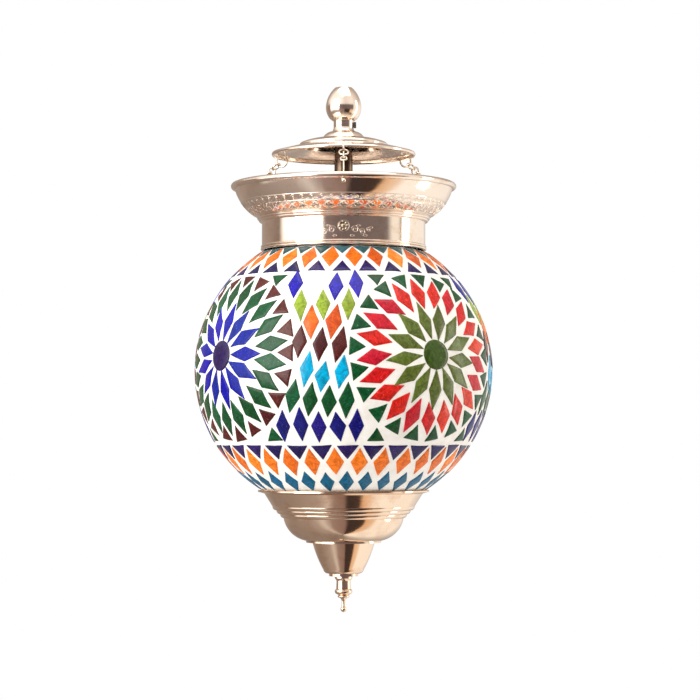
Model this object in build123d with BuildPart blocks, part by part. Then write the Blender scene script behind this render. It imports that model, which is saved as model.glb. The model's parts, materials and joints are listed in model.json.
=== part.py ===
"""Hanging mosaic lantern: a glass globe set with coloured chips, in polished brass fittings.

A spun brass cap hangs from a threaded knob. Three short chains run out from the cap's edge to
the rim of a bowl-shaped collar, which grips the neck of the globe. A turned base closes the
globe from below and is drawn up by the long stud of a finial. A threaded stem carries the lamp
holder and its bulb into the middle of the globe.

Frame: millimetres, +Z up, the origin at the centre of the knob's threaded mouth, where the
lantern hangs, so heights are negative. Azimuth 0 is the front, -Y, and it grows towards +X.
"""

import os
from math import acos, atan2, cos, degrees, radians, sin

from build123d import *

# ---------------------------------------------------------------- driving dimensions
SHEET = 0.9  # spun brass
GAP = 0.05  # between pieces that touch

# knob, neck and stem
KNOB_FOOT = -22.4
KNOB_RADIUS = 11.9
KNOB_MOUTH_RADIUS = 5.7
HANGER_RADIUS = 4.5  # M10 x 1 internal thread, as a plain bore
HANGER_DEPTH = 9.0
STEM_RADIUS = 5.0
STEM_BORE = 3.5
STEM_FIT = STEM_RADIUS + GAP
STEM_BOTTOM = -118.0
NECK_RADIUS = 6.7
NECK_BOTTOM = -30.0
SET_SCREW_HEIGHT = -25.2
SET_SCREW_RADIUS = 1.5
SLEEVE_RADIUS = 6.2

# cap
CAP_RADIUS = 48.4
CAP_BRIM = -44.0  # top of the brim at its edge
CAP_STEP_RADIUS = 29.7
CAP_STEP_HEIGHT = -39.3
CAP_CHAIN_RADIUS = 45.6

# collar
RIM_RADIUS = 75.8
RIM_ROLL = 2.1  # radius of the rolled rim's section
RIM_HEIGHT = -67.1  # middle of the roll
FLARE_TOP = -69.0
COLLAR_RADIUS = 54.9
COLLAR_WALL = 1.0
COLLAR_SHOULDER = -91.5
COLLAR_BOTTOM = -110.2
ROSETTE_HEIGHT = -98.2
ROSETTE_RADIUS = 4.0
ROSETTE_SHANK = 1.5

# globe: semi-axes of the glass's outer surface
GLOBE_RADIUS = 97.0
GLOBE_HALF_HEIGHT = 93.0
GLOBE_CENTRE = -191.0
GLOBE_SPANS = 14  # spans of the curve that follows the ellipse
GLASS = 2.6
GLASS_NECK_RADIUS = 51.9
GLASS_NECK_TOP = -96.0
GLASS_FOOT_RADIUS = 44.0
BED_THICKNESS = 0.55  # grout bed under the chips
BED_TOP_RADIUS = 53.2
BED_FOOT_RADIUS = 50.0
CHIP_THICKNESS = 2.0
GEM_RADIUS = 9.8

# base, finial and tie
BASE_RADIUS = 57.3
BASE_TOP = -270.8
BASE_FLOOR = -304.6
FLANGE_RADIUS = 24.8
LOWER_CUP_TOP = -305.7
LOWER_CUP_RADIUS = 20.8
LOWER_CUP_BOTTOM = -326.4
FINIAL_TOP = -328.2
FINIAL_TIP = -352.2
DROP_RADIUS = 2.0
STUD_RADIUS = 2.5
STUD_FIT = STUD_RADIUS + GAP
STUD_TOP = -258.0
PLATE_TOP = -267.0
PLATE_THICKNESS = 1.5
PLATE_RADIUS = 48.4

# chains
WIRE = 0.6  # wire radius
LINK_GAP = 0.05
CAP_RING_RADIUS = 4.2
ROUND_RING_RADIUS = 2.95
SMALL_RING_RADIUS = 2.6
EYE_RADIUS = 2.0
HOOK_RADIUS = 4.2
HOOK_BALL_RADIUS = 1.5
RIM_CENTRE_RADIUS = RIM_RADIUS - RIM_ROLL
CHAIN_HOLE = 1.6
CHAIN_AZIMUTHS = {"front": 0.0, "right": 120.0, "left": 240.0}

# lamp holder and bulb
HOLDER_RADIUS = 19.0
HOLDER_TOP = -112.0
HOLDER_SEAM = -124.0
HOLDER_BOTTOM = -160.0
HOLDER_WALL = 1.5
SHELL_RADIUS = 14.6
SHELL_WALL = 0.6
BULB_CAP_RADIUS = 13.2
BULB_CAP_TOP = -138.0
BULB_CAP_BOTTOM = -162.0
BULB_RADIUS = 30.0
BULB_WIDEST = -212.0
BULB_WALL = 0.8

UP = Vector(0, 0, 1)

os.makedirs("parts", exist_ok=True)


def save(piece, name):
    """Labels a finished piece and writes it as its own file."""
    piece.part.label = name
    export_step(piece.part, f"parts/{name}.step")


def azimuth(degrees_round):
    """Horizontal unit vector at an azimuth: 0 is the front, -Y, and 90 is +X."""
    return Vector(sin(radians(degrees_round)), -cos(radians(degrees_round)), 0)


def turned_disc(radius, bore, top, bottom):
    """A washer or sleeve: a ring between two heights."""
    with BuildPart() as piece:
        with BuildSketch(Plane.XY.offset(bottom)):
            Circle(radius)
            if bore:
                Circle(bore, mode=Mode.SUBTRACT)
        extrude(amount=top - bottom)
    return piece


def hex_nut(across_flats, bore, top, bottom):
    with BuildPart() as piece:
        with BuildSketch(Plane.XY.offset(bottom)):
            RegularPolygon(across_flats / 2, 6, major_radius=False)
            Circle(bore, mode=Mode.SUBTRACT)
        extrude(amount=top - bottom)
    return piece


# ---------------------------------------------------------------- knob, neck and stem
with BuildPart() as knob:
    # egg-shaped outside, the hanger's thread above and the stem's socket below
    with BuildSketch(Plane.XZ):
        with BuildLine():
            crown = ThreePointArc((KNOB_MOUTH_RADIUS, 0), (10.2, -6.0), (KNOB_RADIUS, -12.8))
            belly = ThreePointArc(crown @ 1, (11.3, -17.2), (9.3, -20.9))
            Polyline(
                belly @ 1,
                (7.4, KNOB_FOOT),
                (STEM_FIT, KNOB_FOOT),
                (STEM_FIT, -HANGER_DEPTH),
                (HANGER_RADIUS, -HANGER_DEPTH),
                (HANGER_RADIUS, 0),
                crown @ 0,
            )
        make_face()
    revolve(axis=Axis.Z)
save(knob, "knob")

with BuildPart() as neck_sleeve:
    # plain sleeve under the knob, flared where it sits on the cap
    with BuildSketch(Plane.XZ):
        with BuildLine():
            flare_top = (NECK_RADIUS, NECK_BOTTOM + 3.0)
            flare_foot = (8.1, NECK_BOTTOM)
            ThreePointArc(flare_top, (7.1, NECK_BOTTOM + 1.4), flare_foot)
            Polyline(
                flare_foot,
                (STEM_FIT, NECK_BOTTOM),
                (STEM_FIT, KNOB_FOOT),
                (NECK_RADIUS, KNOB_FOOT),
                flare_top,
            )
        make_face()
    revolve(axis=Axis.Z)
    with BuildSketch(Plane.YZ.offset(STEM_RADIUS)):
        with Locations((0, SET_SCREW_HEIGHT)):
            Circle(SET_SCREW_RADIUS + GAP)
    extrude(amount=NECK_RADIUS, mode=Mode.SUBTRACT)
save(neck_sleeve, "neck_sleeve")

with BuildPart() as set_screw:
    # slotted cheese head on a short shank that clamps the stem in the neck
    head_seat = NECK_RADIUS + 0.15
    head_height = 1.6
    for radius, start, end in (
        (SET_SCREW_RADIUS, STEM_FIT + GAP, head_seat),
        (2.1, head_seat, head_seat + head_height),
    ):
        with BuildSketch(Plane.YZ.offset(start)):
            with Locations((0, SET_SCREW_HEIGHT)):
                Circle(radius)
        extrude(amount=end - start)
    with BuildSketch(Plane.YZ.offset(head_seat + head_height)):
        with Locations((0, SET_SCREW_HEIGHT)):
            Rectangle(6, 0.6)
    extrude(amount=-head_height / 2, mode=Mode.SUBTRACT)
save(set_screw, "set_screw")

save(turned_disc(STEM_RADIUS, STEM_BORE, -HANGER_DEPTH - GAP, STEM_BOTTOM), "stem_tube")

# ---------------------------------------------------------------- cap
BRIM_EDGE = CAP_RADIUS - 0.6
BRIM_SLOPE = (CAP_BRIM - CAP_STEP_HEIGHT) / (BRIM_EDGE - CAP_STEP_RADIUS)
CAP_UNDERSIDE = NECK_BOTTOM - SHEET
# middle of the brim's sheet at the chain holes: the pivot of each chain
CHAIN_PIVOT_HEIGHT = CAP_STEP_HEIGHT + BRIM_SLOPE * (CAP_CHAIN_RADIUS - CAP_STEP_RADIUS) - 0.35

with BuildPart() as top_cap:
    # stepped dome: flat seat, small dome, shallow middle step, brim with a beaded edge
    with BuildSketch(Plane.XZ):
        with BuildLine():
            seat = Line((STEM_FIT, NECK_BOTTOM), (9.2, NECK_BOTTOM))
            dome = ThreePointArc(seat @ 1, (12.6, -31.9), (14.2, -34.2))
            step = ThreePointArc(dome @ 1, (21.4, -35.2), (28.3, -37.2))
            edge = ThreePointArc(step @ 1, (29.4, -38.0), (CAP_STEP_RADIUS, CAP_STEP_HEIGHT))
            brim = Line(edge @ 1, (BRIM_EDGE, CAP_BRIM))
            bead = ThreePointArc(brim @ 1, (CAP_RADIUS, CAP_BRIM - 1.2), (BRIM_EDGE, CAP_BRIM - 2.4))
            lip = ThreePointArc(bead @ 1, (BRIM_EDGE - 0.7, CAP_BRIM - 2.0), (BRIM_EDGE - 0.9, CAP_BRIM - 0.5))
            under_brim = Line(lip @ 1, (CAP_STEP_RADIUS - 0.9, CAP_STEP_HEIGHT - 0.7))
            under_edge = Line(under_brim @ 1, (27.9, -38.2))
            under_step = ThreePointArc(under_edge @ 1, (21.0, -36.2), (13.4, -35.1))
            under_dome = ThreePointArc(under_step @ 1, (11.9, -32.7), (9.2, CAP_UNDERSIDE))
            Polyline(under_dome @ 1, (STEM_FIT, CAP_UNDERSIDE), seat @ 0)
        make_face()
    revolve(axis=Axis.Z)
    with BuildSketch(Plane.XY.offset(CAP_BRIM - 3)):
        with PolarLocations(CAP_CHAIN_RADIUS, len(CHAIN_AZIMUTHS), start_angle=-90):
            Circle(CHAIN_HOLE)
    extrude(amount=6, mode=Mode.SUBTRACT)
save(top_cap, "top_cap")

WASHER_BOTTOM = CAP_UNDERSIDE - 1.0
NUT_BOTTOM = WASHER_BOTTOM - 4.0
save(turned_disc(8.6, STEM_FIT, CAP_UNDERSIDE, WASHER_BOTTOM), "cap_washer")
save(hex_nut(14.0, STEM_FIT, WASHER_BOTTOM, NUT_BOTTOM), "cap_locknut")
save(turned_disc(SLEEVE_RADIUS, STEM_FIT, NUT_BOTTOM, HOLDER_TOP), "stem_sleeve")

# ---------------------------------------------------------------- collar
COLLAR_BORE = COLLAR_RADIUS - COLLAR_WALL

with BuildPart() as collar:
    # bowl-shaped flare under a rolled rim, two beads, a plain neck and a beaded foot
    with BuildSketch(Plane.XZ):
        with BuildLine():
            flare = ThreePointArc((RIM_RADIUS - 2.6, FLARE_TOP), (67.4, -80.2), (57.7, -87.9))
            upper_bead = ThreePointArc(flare @ 1, (58.1, -88.8), (56.9, -89.5))
            lower_bead = ThreePointArc(upper_bead @ 1, (57.0, -90.4), (55.7, -91.1))
            neck = Polyline(
                lower_bead @ 1,
                (COLLAR_RADIUS, COLLAR_SHOULDER),
                (COLLAR_RADIUS, COLLAR_BOTTOM + 3.4),
            )
            foot_bead = ThreePointArc(
                neck @ 1,
                (COLLAR_RADIUS + 0.7, COLLAR_BOTTOM + 2.6),
                (COLLAR_RADIUS, COLLAR_BOTTOM + 1.8),
            )
            foot_edge = ThreePointArc(
                foot_bead @ 1,
                (COLLAR_RADIUS + 0.85, COLLAR_BOTTOM + 0.9),
                (COLLAR_RADIUS, COLLAR_BOTTOM),
            )
            bore = Polyline(
                foot_edge @ 1,
                (COLLAR_BORE, COLLAR_BOTTOM),
                (COLLAR_BORE, COLLAR_SHOULDER + 1.8),
                (57.2, -87.0),
            )
            inside = ThreePointArc(bore @ 1, (66.6, -79.5), (RIM_RADIUS - 3.6, FLARE_TOP))
            Polyline(
                inside @ 1,
                (RIM_RADIUS - 3.6, FLARE_TOP + 1),
                (RIM_RADIUS - 2.6, FLARE_TOP + 1),
                flare @ 0,
            )
        make_face()
    revolve(axis=Axis.Z)
    with BuildSketch(Plane.XZ):
        with Locations((RIM_CENTRE_RADIUS, RIM_HEIGHT)):
            Circle(RIM_ROLL)
    revolve(axis=Axis.Z)
    # holes for the chains' hooks, slanting through the flare, and for the screws of the neck
    for turn in CHAIN_AZIMUTHS.values():
        outward = azimuth(turn)
        for radius, height, hole_radius, tilt in (
            (RIM_RADIUS - 3.7, FLARE_TOP - 2.0, CHAIN_HOLE, 23),
            (COLLAR_RADIUS, ROSETTE_HEIGHT, ROSETTE_SHANK + GAP, 0),
        ):
            through = outward * cos(radians(tilt)) - UP * sin(radians(tilt))
            with BuildSketch(Plane(origin=outward * radius + UP * height, z_dir=through)):
                Circle(hole_radius)
            extrude(amount=4, both=True, mode=Mode.SUBTRACT)
save(collar, "collar")

with BuildPart() as rosette_screws:
    # round-headed screws that pinch the packing round the globe's neck
    head_seat = COLLAR_RADIUS + 0.3
    for turn in CHAIN_AZIMUTHS.values():
        outward = azimuth(turn)
        for radius, start, end in (
            (ROSETTE_SHANK, COLLAR_BORE, head_seat + 0.1),
            (ROSETTE_RADIUS, head_seat, head_seat + 1.0),
            (ROSETTE_RADIUS / 2, head_seat + 0.9, head_seat + 1.6),
        ):
            with BuildSketch(Plane(origin=outward * start + UP * ROSETTE_HEIGHT, z_dir=outward)):
                Circle(radius)
            extrude(amount=end - start)
save(rosette_screws, "rosette_screws")

PACKING_TOP = GLASS_NECK_TOP - 0.6
PACKING_BOTTOM = COLLAR_BOTTOM + 2.0
save(turned_disc(COLLAR_BORE - GAP, GLASS_NECK_RADIUS + GAP, PACKING_TOP, PACKING_BOTTOM), "neck_packing")

# ---------------------------------------------------------------- globe
GLOBE_SECTION = Plane(origin=(0, 0, GLOBE_CENTRE), x_dir=(1, 0, 0), z_dir=(0, -1, 0))


def globe_curve(level, top_radius, foot_radius):
    """Curve from foot to top of the ellipse that stands `level` outside the glass."""
    across = GLOBE_RADIUS + level
    upright = GLOBE_HALF_HEIGHT + level
    foot_angle = -acos(foot_radius / across)
    step = (acos(top_radius / across) - foot_angle) / GLOBE_SPANS
    angles = [foot_angle + step * index for index in range(GLOBE_SPANS + 1)]
    return Spline(*[(across * cos(angle), upright * sin(angle)) for angle in angles])


with BuildPart() as globe_glass:
    # blown glass: a slightly flattened ball with a straight neck, open at the foot
    with BuildSketch(GLOBE_SECTION):
        with BuildLine():
            neck_top = GLASS_NECK_TOP - GLOBE_CENTRE
            neck_bore = GLASS_NECK_RADIUS - GLASS
            outer = globe_curve(0, GLASS_NECK_RADIUS, GLASS_FOOT_RADIUS)
            inner = globe_curve(-GLASS, neck_bore, GLASS_FOOT_RADIUS)
            Polyline(outer @ 1, (GLASS_NECK_RADIUS, neck_top), (neck_bore, neck_top), inner @ 1)
            Line(outer @ 0, inner @ 0)
        make_face()
    revolve(axis=Axis.Z)
save(globe_glass, "globe_glass")

with BuildPart() as grout_bed:
    # thin shell of grout between the glass and the backs of the chips
    with BuildSketch(GLOBE_SECTION):
        with BuildLine():
            outer = globe_curve(GAP + BED_THICKNESS, BED_TOP_RADIUS, BED_FOOT_RADIUS)
            inner = globe_curve(GAP, BED_TOP_RADIUS, BED_FOOT_RADIUS)
            Line(outer @ 1, inner @ 1)
            Line(outer @ 0, inner @ 0)
        make_face()
    revolve(axis=Axis.Z)
save(grout_bed, "grout_bed")

# ---------------------------------------------------------------- mosaic
CHIP_LEVEL = 2 * GAP + BED_THICKNESS  # back of a chip at its middle, outside the glass
PANEL_CENTRE = -8.3  # azimuth of the front panel of diamonds
MEDALLION_LATITUDE = 4.9
TOP_COUNT = 28
TOP_FIRST = 5.6  # azimuth of the top band's first orange diamond
LOW_COUNT = 32
LOW_FIRST = 1.7  # azimuth of the bottom band's first indigo triangle
PETALS_INNER = 13
PETALS_OUTER = 21
INNER_PETAL = (24.6, 9.4)
OUTER_PETAL = (22.6, 10.4)
INNER_DISTANCE = 13.6  # degrees from a medallion's middle to its inner petals' middles
OUTER_DISTANCE = 25.3
TIP_SPACING = 6.8  # bearing, in degrees, kept between inner tips and outer petals' points

# a panel's diamonds: colour, width, and each one's azimuth from the panel's middle, latitude,
# length and lean from upright, in degrees, as the setter placed them
PANEL_ROWS = [
    (
        "blue",
        9.6,
        ((-13.8, 34.1, 22.0, -7), (-4.5, 33.4, 22.0, -3), (4.9, 32.7, 22.0, 2), (14.0, 34.0, 22.0, -3)),
    ),
    ("lime", 8.6, ((-9.3, 24.6, 22.0, -7), (0.1, 24.8, 21.0, -5), (10.3, 24.8, 22.0, 2))),
    ("orange", 9.8, ((-4.2, 17.2, 22.5, -2), (4.5, 17.5, 22.5, 10))),
    ("maroon", 9.0, ((-8.2, 9.4, 21.0, 3), (-0.3, 8.3, 22.0, 5), (6.7, 8.2, 23.0, 13))),
    ("cyan", 8.8, ((-5.3, -1.2, 22.0, 11), (0.7, -4.0, 19.0, 10), (7.6, -2.3, 20.5, 9))),
    (
        "green",
        9.6,
        ((-11.1, -11.2, 22.5, 14), (-4.2, -12.6, 21.5, 10), (2.7, -13.4, 20.5, 5), (9.5, -13.0, 22.5, 4)),
    ),
    (
        "navy",
        9.6,
        (
            (-16.6, -23.2, 21.0, 6),
            (-9.0, -22.6, 22.0, 2),
            (-1.6, -23.5, 21.0, 3),
            (6.0, -23.4, 20.5, -8),
            (13.4, -23.0, 22.0, 0),
        ),
    ),
]
# azimuth from the medallion's middle, and latitude, of the triangles in its four corners
CORNERS = ((-21.6, 35.9), (21.6, 35.9), (-23.2, -26.6), (23.2, -26.6))


def direction(turn, latitude):
    """Unit direction at an azimuth and a parametric latitude of the globe."""
    return azimuth(turn) * cos(radians(latitude)) + UP * sin(radians(latitude))


def chip_plane(towards, heading, lean=0.0):
    """Plane of a chip's back: tangent to the bed, Y along `heading`, then leant to the right."""
    across = GLOBE_RADIUS + CHIP_LEVEL
    upright = GLOBE_HALF_HEIGHT + CHIP_LEVEL
    origin = Vector(across * towards.X, across * towards.Y, GLOBE_CENTRE + upright * towards.Z)
    normal = Vector(towards.X / across, towards.Y / across, towards.Z / upright).normalized()
    sideways = heading.cross(normal).normalized()
    x_dir = sideways * cos(radians(lean)) - normal.cross(sideways) * sin(radians(lean))
    return Plane(origin=origin, x_dir=x_dir, z_dir=normal)


def around(count, first):
    """Equally spaced azimuths or bearings."""
    return [first + 360.0 * index / count for index in range(count)]


def row(turns, latitude):
    """Planes of chips at one latitude, pointing up the globe."""
    return [chip_plane(direction(turn, latitude), UP) for turn in turns]


def petal_plane(turn, bearing, distance, lean=0.0):
    """Plane of a chip at a bearing and distance from a medallion's middle, pointing away from it."""
    middle = direction(turn, MEDALLION_LATITUDE)
    east = azimuth(turn + 90)
    outward = east * cos(radians(bearing)) + middle.cross(east) * sin(radians(bearing))
    towards = middle * cos(radians(distance)) + outward * sin(radians(distance))
    heading = outward * cos(radians(distance)) - middle * sin(radians(distance))
    return chip_plane(towards, heading, lean)


def tucked_lean(bearing, tips):
    """Lean that turns an outer petal's inner point clear of the nearest inner petal's tip."""
    aside = min(((bearing - tip + 180) % 360 - 180 for tip in tips), key=abs)
    clearance = radians(max(0, TIP_SPACING - abs(aside))) * GLOBE_RADIUS * sin(radians(OUTER_DISTANCE - 6))
    lean = degrees(atan2(clearance, OUTER_PETAL[0] / 2))
    return lean if aside >= 0 else -lean


def diamond(length, width):
    return [(0, -length / 2), (width / 2, 0), (0, length / 2), (-width / 2, 0)]


def triangle(height, width, point_up):
    """Isosceles chip whose middle height lies on the plane's origin."""
    tip = height / 2 if point_up else -height / 2
    return [(-width / 2, -tip), (width / 2, -tip), (0, tip)]


mosaic = {}  # colour: list of (planes, outline)


def lay(colour, planes, outline):
    mosaic.setdefault(colour, []).append((planes, outline))


def lay_medallion(turn, first_inner, first_outer, inner, outer, fill):
    """Two rings of petals and a ring of triangles, each ring of its own colour."""
    tips = around(PETALS_INNER, first_inner)
    petals = around(PETALS_OUTER, first_outer)
    gaps = around(PETALS_OUTER, first_outer + 180 / PETALS_OUTER)
    outer_planes = [petal_plane(turn, b, OUTER_DISTANCE, tucked_lean(b, tips)) for b in petals]
    lay(inner, [petal_plane(turn, b, INNER_DISTANCE) for b in tips], diamond(*INNER_PETAL))
    lay(outer, outer_planes, diamond(*OUTER_PETAL))
    lay(fill, [petal_plane(turn, b, 31.2) for b in gaps], triangle(10.2, 10.8, False))


top_gaps = around(TOP_COUNT, TOP_FIRST + 180 / TOP_COUNT)
low_gaps = around(LOW_COUNT, LOW_FIRST + 180 / LOW_COUNT)
lay("teal", row(top_gaps, 53.8), triangle(8.0, 9.8, False))
lay("orange", row(around(TOP_COUNT, TOP_FIRST), 49.4), diamond(21.0, 10.6))
lay("indigo", row(top_gaps, 43.6), triangle(9.6, 11.0, True))
lay("indigo", row(around(LOW_COUNT, LOW_FIRST), -34.8), triangle(10.4, 12.6, False))
lay("orange", row(low_gaps, -39.4), diamond(21.5, 10.4))
lay("petrol", row(around(LOW_COUNT, LOW_FIRST), -50.3), diamond(19.0, 9.0))

medallion_middles = []
for quarter in range(4):
    panel = PANEL_CENTRE + 90 * quarter
    for colour, width, diamonds in PANEL_ROWS:
        for turn, latitude, length, lean in diamonds:
            plane = chip_plane(direction(panel + turn, latitude), UP, lean)
            lay(colour, [plane], diamond(length, width))

    medallion = panel + 45
    medallion_middles.append(petal_plane(medallion, 0, 0))
    if quarter % 2:
        lay_medallion(medallion, 2.0, 11.0, "blue", "green", "maroon")
    else:
        lay_medallion(medallion, 20.2, 10.4, "olive", "red", "green")
    for turn, latitude in CORNERS:
        lay("green", row([medallion + turn], latitude), triangle(9.0, 10.6, latitude < 0))

for colour, places in mosaic.items():
    with BuildPart() as chips:
        for planes, outline in places:
            with BuildSketch(*planes):
                Polygon(*outline, align=None)
        extrude(amount=CHIP_THICKNESS)
    save(chips, f"chips_{colour}")

with BuildPart() as medallion_gems:
    with BuildSketch(*medallion_middles):
        Circle(GEM_RADIUS)
    extrude(amount=CHIP_THICKNESS + 0.6)
save(medallion_gems, "medallion_gems")

# ---------------------------------------------------------------- base, finial and tie
with BuildPart() as base_cup:
    # thin flange, a stepped funnel with three beads and a rounded floor
    with BuildSketch(Plane.XZ):
        with BuildLine():
            flange = Polyline(
                (BASE_RADIUS, BASE_TOP),
                (BASE_RADIUS, BASE_TOP - 1.0),
                (53.0, BASE_TOP - 2.2),
            )
            funnel = Line(flange @ 1, (47.6, -281.6))
            bead_one = ThreePointArc(funnel @ 1, (47.0, -283.4), (44.9, -284.2))
            bead_two = ThreePointArc(bead_one @ 1, (44.4, -285.9), (42.4, -286.8))
            bead_three = ThreePointArc(bead_two @ 1, (42.0, -288.4), (40.2, -289.4))
            bowl = ThreePointArc(bead_three @ 1, (36.6, -297.6), (FLANGE_RADIUS, BASE_FLOOR))
            floor = Polyline(
                bowl @ 1,
                (STUD_FIT, BASE_FLOOR),
                (STUD_FIT, BASE_FLOOR + SHEET),
                (FLANGE_RADIUS - 0.2, BASE_FLOOR + SHEET),
            )
            inside = ThreePointArc(floor @ 1, (35.7, -297.1), (39.2, -289.2))
            Polyline(
                inside @ 1,
                (46.6, -281.4),
                (51.8, BASE_TOP - 1.6),
                (52.6, BASE_TOP + 0.9),
                (53.6, BASE_TOP + 0.2),
                flange @ 0,
            )
        make_face()
    revolve(axis=Axis.Z)
save(base_cup, "base_cup")

save(turned_disc(FLANGE_RADIUS + 0.3, STUD_FIT, BASE_FLOOR, LOWER_CUP_TOP), "base_flange")

with BuildPart() as lower_cup:
    # small tapering cup under the base, with a stepped foot
    with BuildSketch(Plane.XZ):
        with BuildLine():
            side = ThreePointArc((LOWER_CUP_RADIUS, LOWER_CUP_TOP), (17.6, -315.4), (13.6, -323.8))
            foot = ThreePointArc(side @ 1, (12.6, -325.6), (10.4, LOWER_CUP_BOTTOM))
            floor = Polyline(
                foot @ 1,
                (STUD_FIT, LOWER_CUP_BOTTOM),
                (STUD_FIT, LOWER_CUP_BOTTOM + SHEET),
                (10.6, LOWER_CUP_BOTTOM + SHEET),
            )
            rise = ThreePointArc(floor @ 1, (11.9, -324.8), (12.7, -323.4))
            wall = ThreePointArc(rise @ 1, (16.7, -315.1), (LOWER_CUP_RADIUS - SHEET, LOWER_CUP_TOP))
            Line(wall @ 1, side @ 0)
        make_face()
    revolve(axis=Axis.Z)
save(lower_cup, "lower_cup")

with BuildPart() as finial:
    # turned spindle with a bulge, a ring and a drop, on a long stud that ties the base together
    with BuildSketch(Plane.XZ):
        with BuildLine():
            stud = Polyline(
                (0, STUD_TOP),
                (STUD_RADIUS, STUD_TOP),
                (STUD_RADIUS, FINIAL_TOP),
                (5.9, FINIAL_TOP),
                (5.9, -329.6),
            )
            waist = ThreePointArc(stud @ 1, (5.3, -330.3), (4.7, -331.2))
            spindle = Line(waist @ 1, (4.9, -336.8))
            bulge = ThreePointArc(spindle @ 1, (5.9, -338.6), (4.5, -340.2))
            shoulder = Line(bulge @ 1, (3.1, -340.9))
            ring = ThreePointArc(shoulder @ 1, (3.9, -341.7), (2.9, -342.5))
            cone = ThreePointArc(ring @ 1, (1.8, -343.4), (1.2, -345.4))
            drop = CenterArc((0, FINIAL_TIP + DROP_RADIUS), DROP_RADIUS, -90, 140)
            Polyline(cone @ 1, (1.2, -347.0), drop @ 1)
            Line(drop @ 0, stud @ 0)
        make_face()
    revolve(axis=Axis.Z)
save(finial, "finial")

TIE_WASHER_TOP = PLATE_TOP + 1.0
save(turned_disc(9.7, STUD_FIT, LOWER_CUP_BOTTOM, FINIAL_TOP + GAP), "finial_washer")
save(turned_disc(PLATE_RADIUS, STUD_FIT, PLATE_TOP, PLATE_TOP - PLATE_THICKNESS), "clamp_plate")
save(turned_disc(6.0, STUD_FIT, TIE_WASHER_TOP, PLATE_TOP), "tie_washer")
save(hex_nut(8.0, STUD_FIT, TIE_WASHER_TOP + 4.0, TIE_WASHER_TOP), "tie_nut")

# ---------------------------------------------------------------- chains
CHAIN_REACH = RIM_CENTRE_RADIUS - CAP_CHAIN_RADIUS
CHAIN_DROP = CHAIN_PIVOT_HEIGHT - RIM_HEIGHT
CHAIN_SLOPE = atan2(CHAIN_DROP, CHAIN_REACH)
CHAIN_LENGTH = CHAIN_REACH / cos(CHAIN_SLOPE)
SWING_CENTRE = CHAIN_PIVOT_HEIGHT + CAP_CHAIN_RADIUS * CHAIN_DROP / CHAIN_REACH
OVERLAP = 2 * WIRE + LINK_GAP  # how far one link reaches into the next


def chain_plane(turn):
    """Plane of one chain: X runs down it from its hole in the cap, Y is up and outwards."""
    outward = azimuth(turn)
    return Plane(
        origin=outward * CAP_CHAIN_RADIUS + UP * CHAIN_PIVOT_HEIGHT,
        x_dir=outward * cos(CHAIN_SLOPE) - UP * sin(CHAIN_SLOPE),
        z_dir=outward.cross(UP),
    )


def closed_ring(chain, start, radius, crosswise):
    """Ring that starts at a distance down the chain, in the chain's plane or crosswise."""
    axis = chain.y_dir if crosswise else chain.z_dir
    middle = chain.origin + chain.x_dir * (start + radius)
    with BuildPart() as link:
        with Locations(Plane(origin=middle, x_dir=chain.x_dir, z_dir=axis)):
            Torus(radius, WIRE)
    return link


def rim_hook(chain, start):
    """Wire hook: an eye, a cranked shank, and a bend out through the flare to a ball."""
    eye_middle = chain.origin + chain.x_dir * (start + EYE_RADIUS)
    shank_start = start + 2 * EYE_RADIUS
    with BuildPart() as hook:
        with Locations(Plane(origin=eye_middle, x_dir=chain.x_dir, z_dir=chain.y_dir)):
            Torus(EYE_RADIUS, WIRE)
        with BuildLine(chain) as path:
            FilletPolyline(
                (shank_start, 0),
                (shank_start + 3.0, 0),
                (CHAIN_LENGTH - 5.0, -HOOK_RADIUS),
                (CHAIN_LENGTH, -HOOK_RADIUS),
                radius=4.0,
            )
            bend = CenterArc((CHAIN_LENGTH, 0), HOOK_RADIUS, -90, 58)
        wire = path.wires()[0]
        with BuildSketch(Plane(origin=wire @ 0, z_dir=wire % 0)):
            Circle(WIRE)
        sweep(path=wire)
        with Locations(bend @ 1):
            Sphere(HOOK_BALL_RADIUS)
    return hook


for side, turn in CHAIN_AZIMUTHS.items():
    chain = chain_plane(turn)
    round_start = CAP_RING_RADIUS * 2 - OVERLAP
    small_start = round_start + ROUND_RING_RADIUS * 2 - OVERLAP
    hook_start = small_start + SMALL_RING_RADIUS * 2 - OVERLAP
    save(closed_ring(chain, 0, CAP_RING_RADIUS, False), f"cap_ring_{side}")
    save(closed_ring(chain, round_start, ROUND_RING_RADIUS, True), f"round_ring_{side}")
    save(closed_ring(chain, small_start, SMALL_RING_RADIUS, False), f"small_ring_{side}")
    save(rim_hook(chain, hook_start), f"rim_hook_{side}")

# ---------------------------------------------------------------- lamp holder and bulb
with BuildPart() as holder_dome:
    # domed lid of the lamp holder, with a hub that screws on the stem
    hub_radius = 8.0
    with BuildSketch(Plane.XZ):
        with BuildLine():
            hub = Polyline(
                (STEM_FIT, HOLDER_TOP),
                (hub_radius, HOLDER_TOP),
                (hub_radius, HOLDER_TOP - 4.5),
            )
            dome = ThreePointArc(hub @ 1, (15.4, HOLDER_TOP - 6.9), (HOLDER_RADIUS, HOLDER_SEAM))
            seam = Line(dome @ 1, (HOLDER_RADIUS - HOLDER_WALL, HOLDER_SEAM))
            inside = ThreePointArc(seam @ 1, (14.4, HOLDER_TOP - 8.0), (9.0, HOLDER_TOP - 6.2))
            Polyline(inside @ 1, (STEM_FIT, HOLDER_TOP - 6.2), hub @ 0)
        make_face()
    revolve(axis=Axis.Z)
save(holder_dome, "holder_dome")

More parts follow.
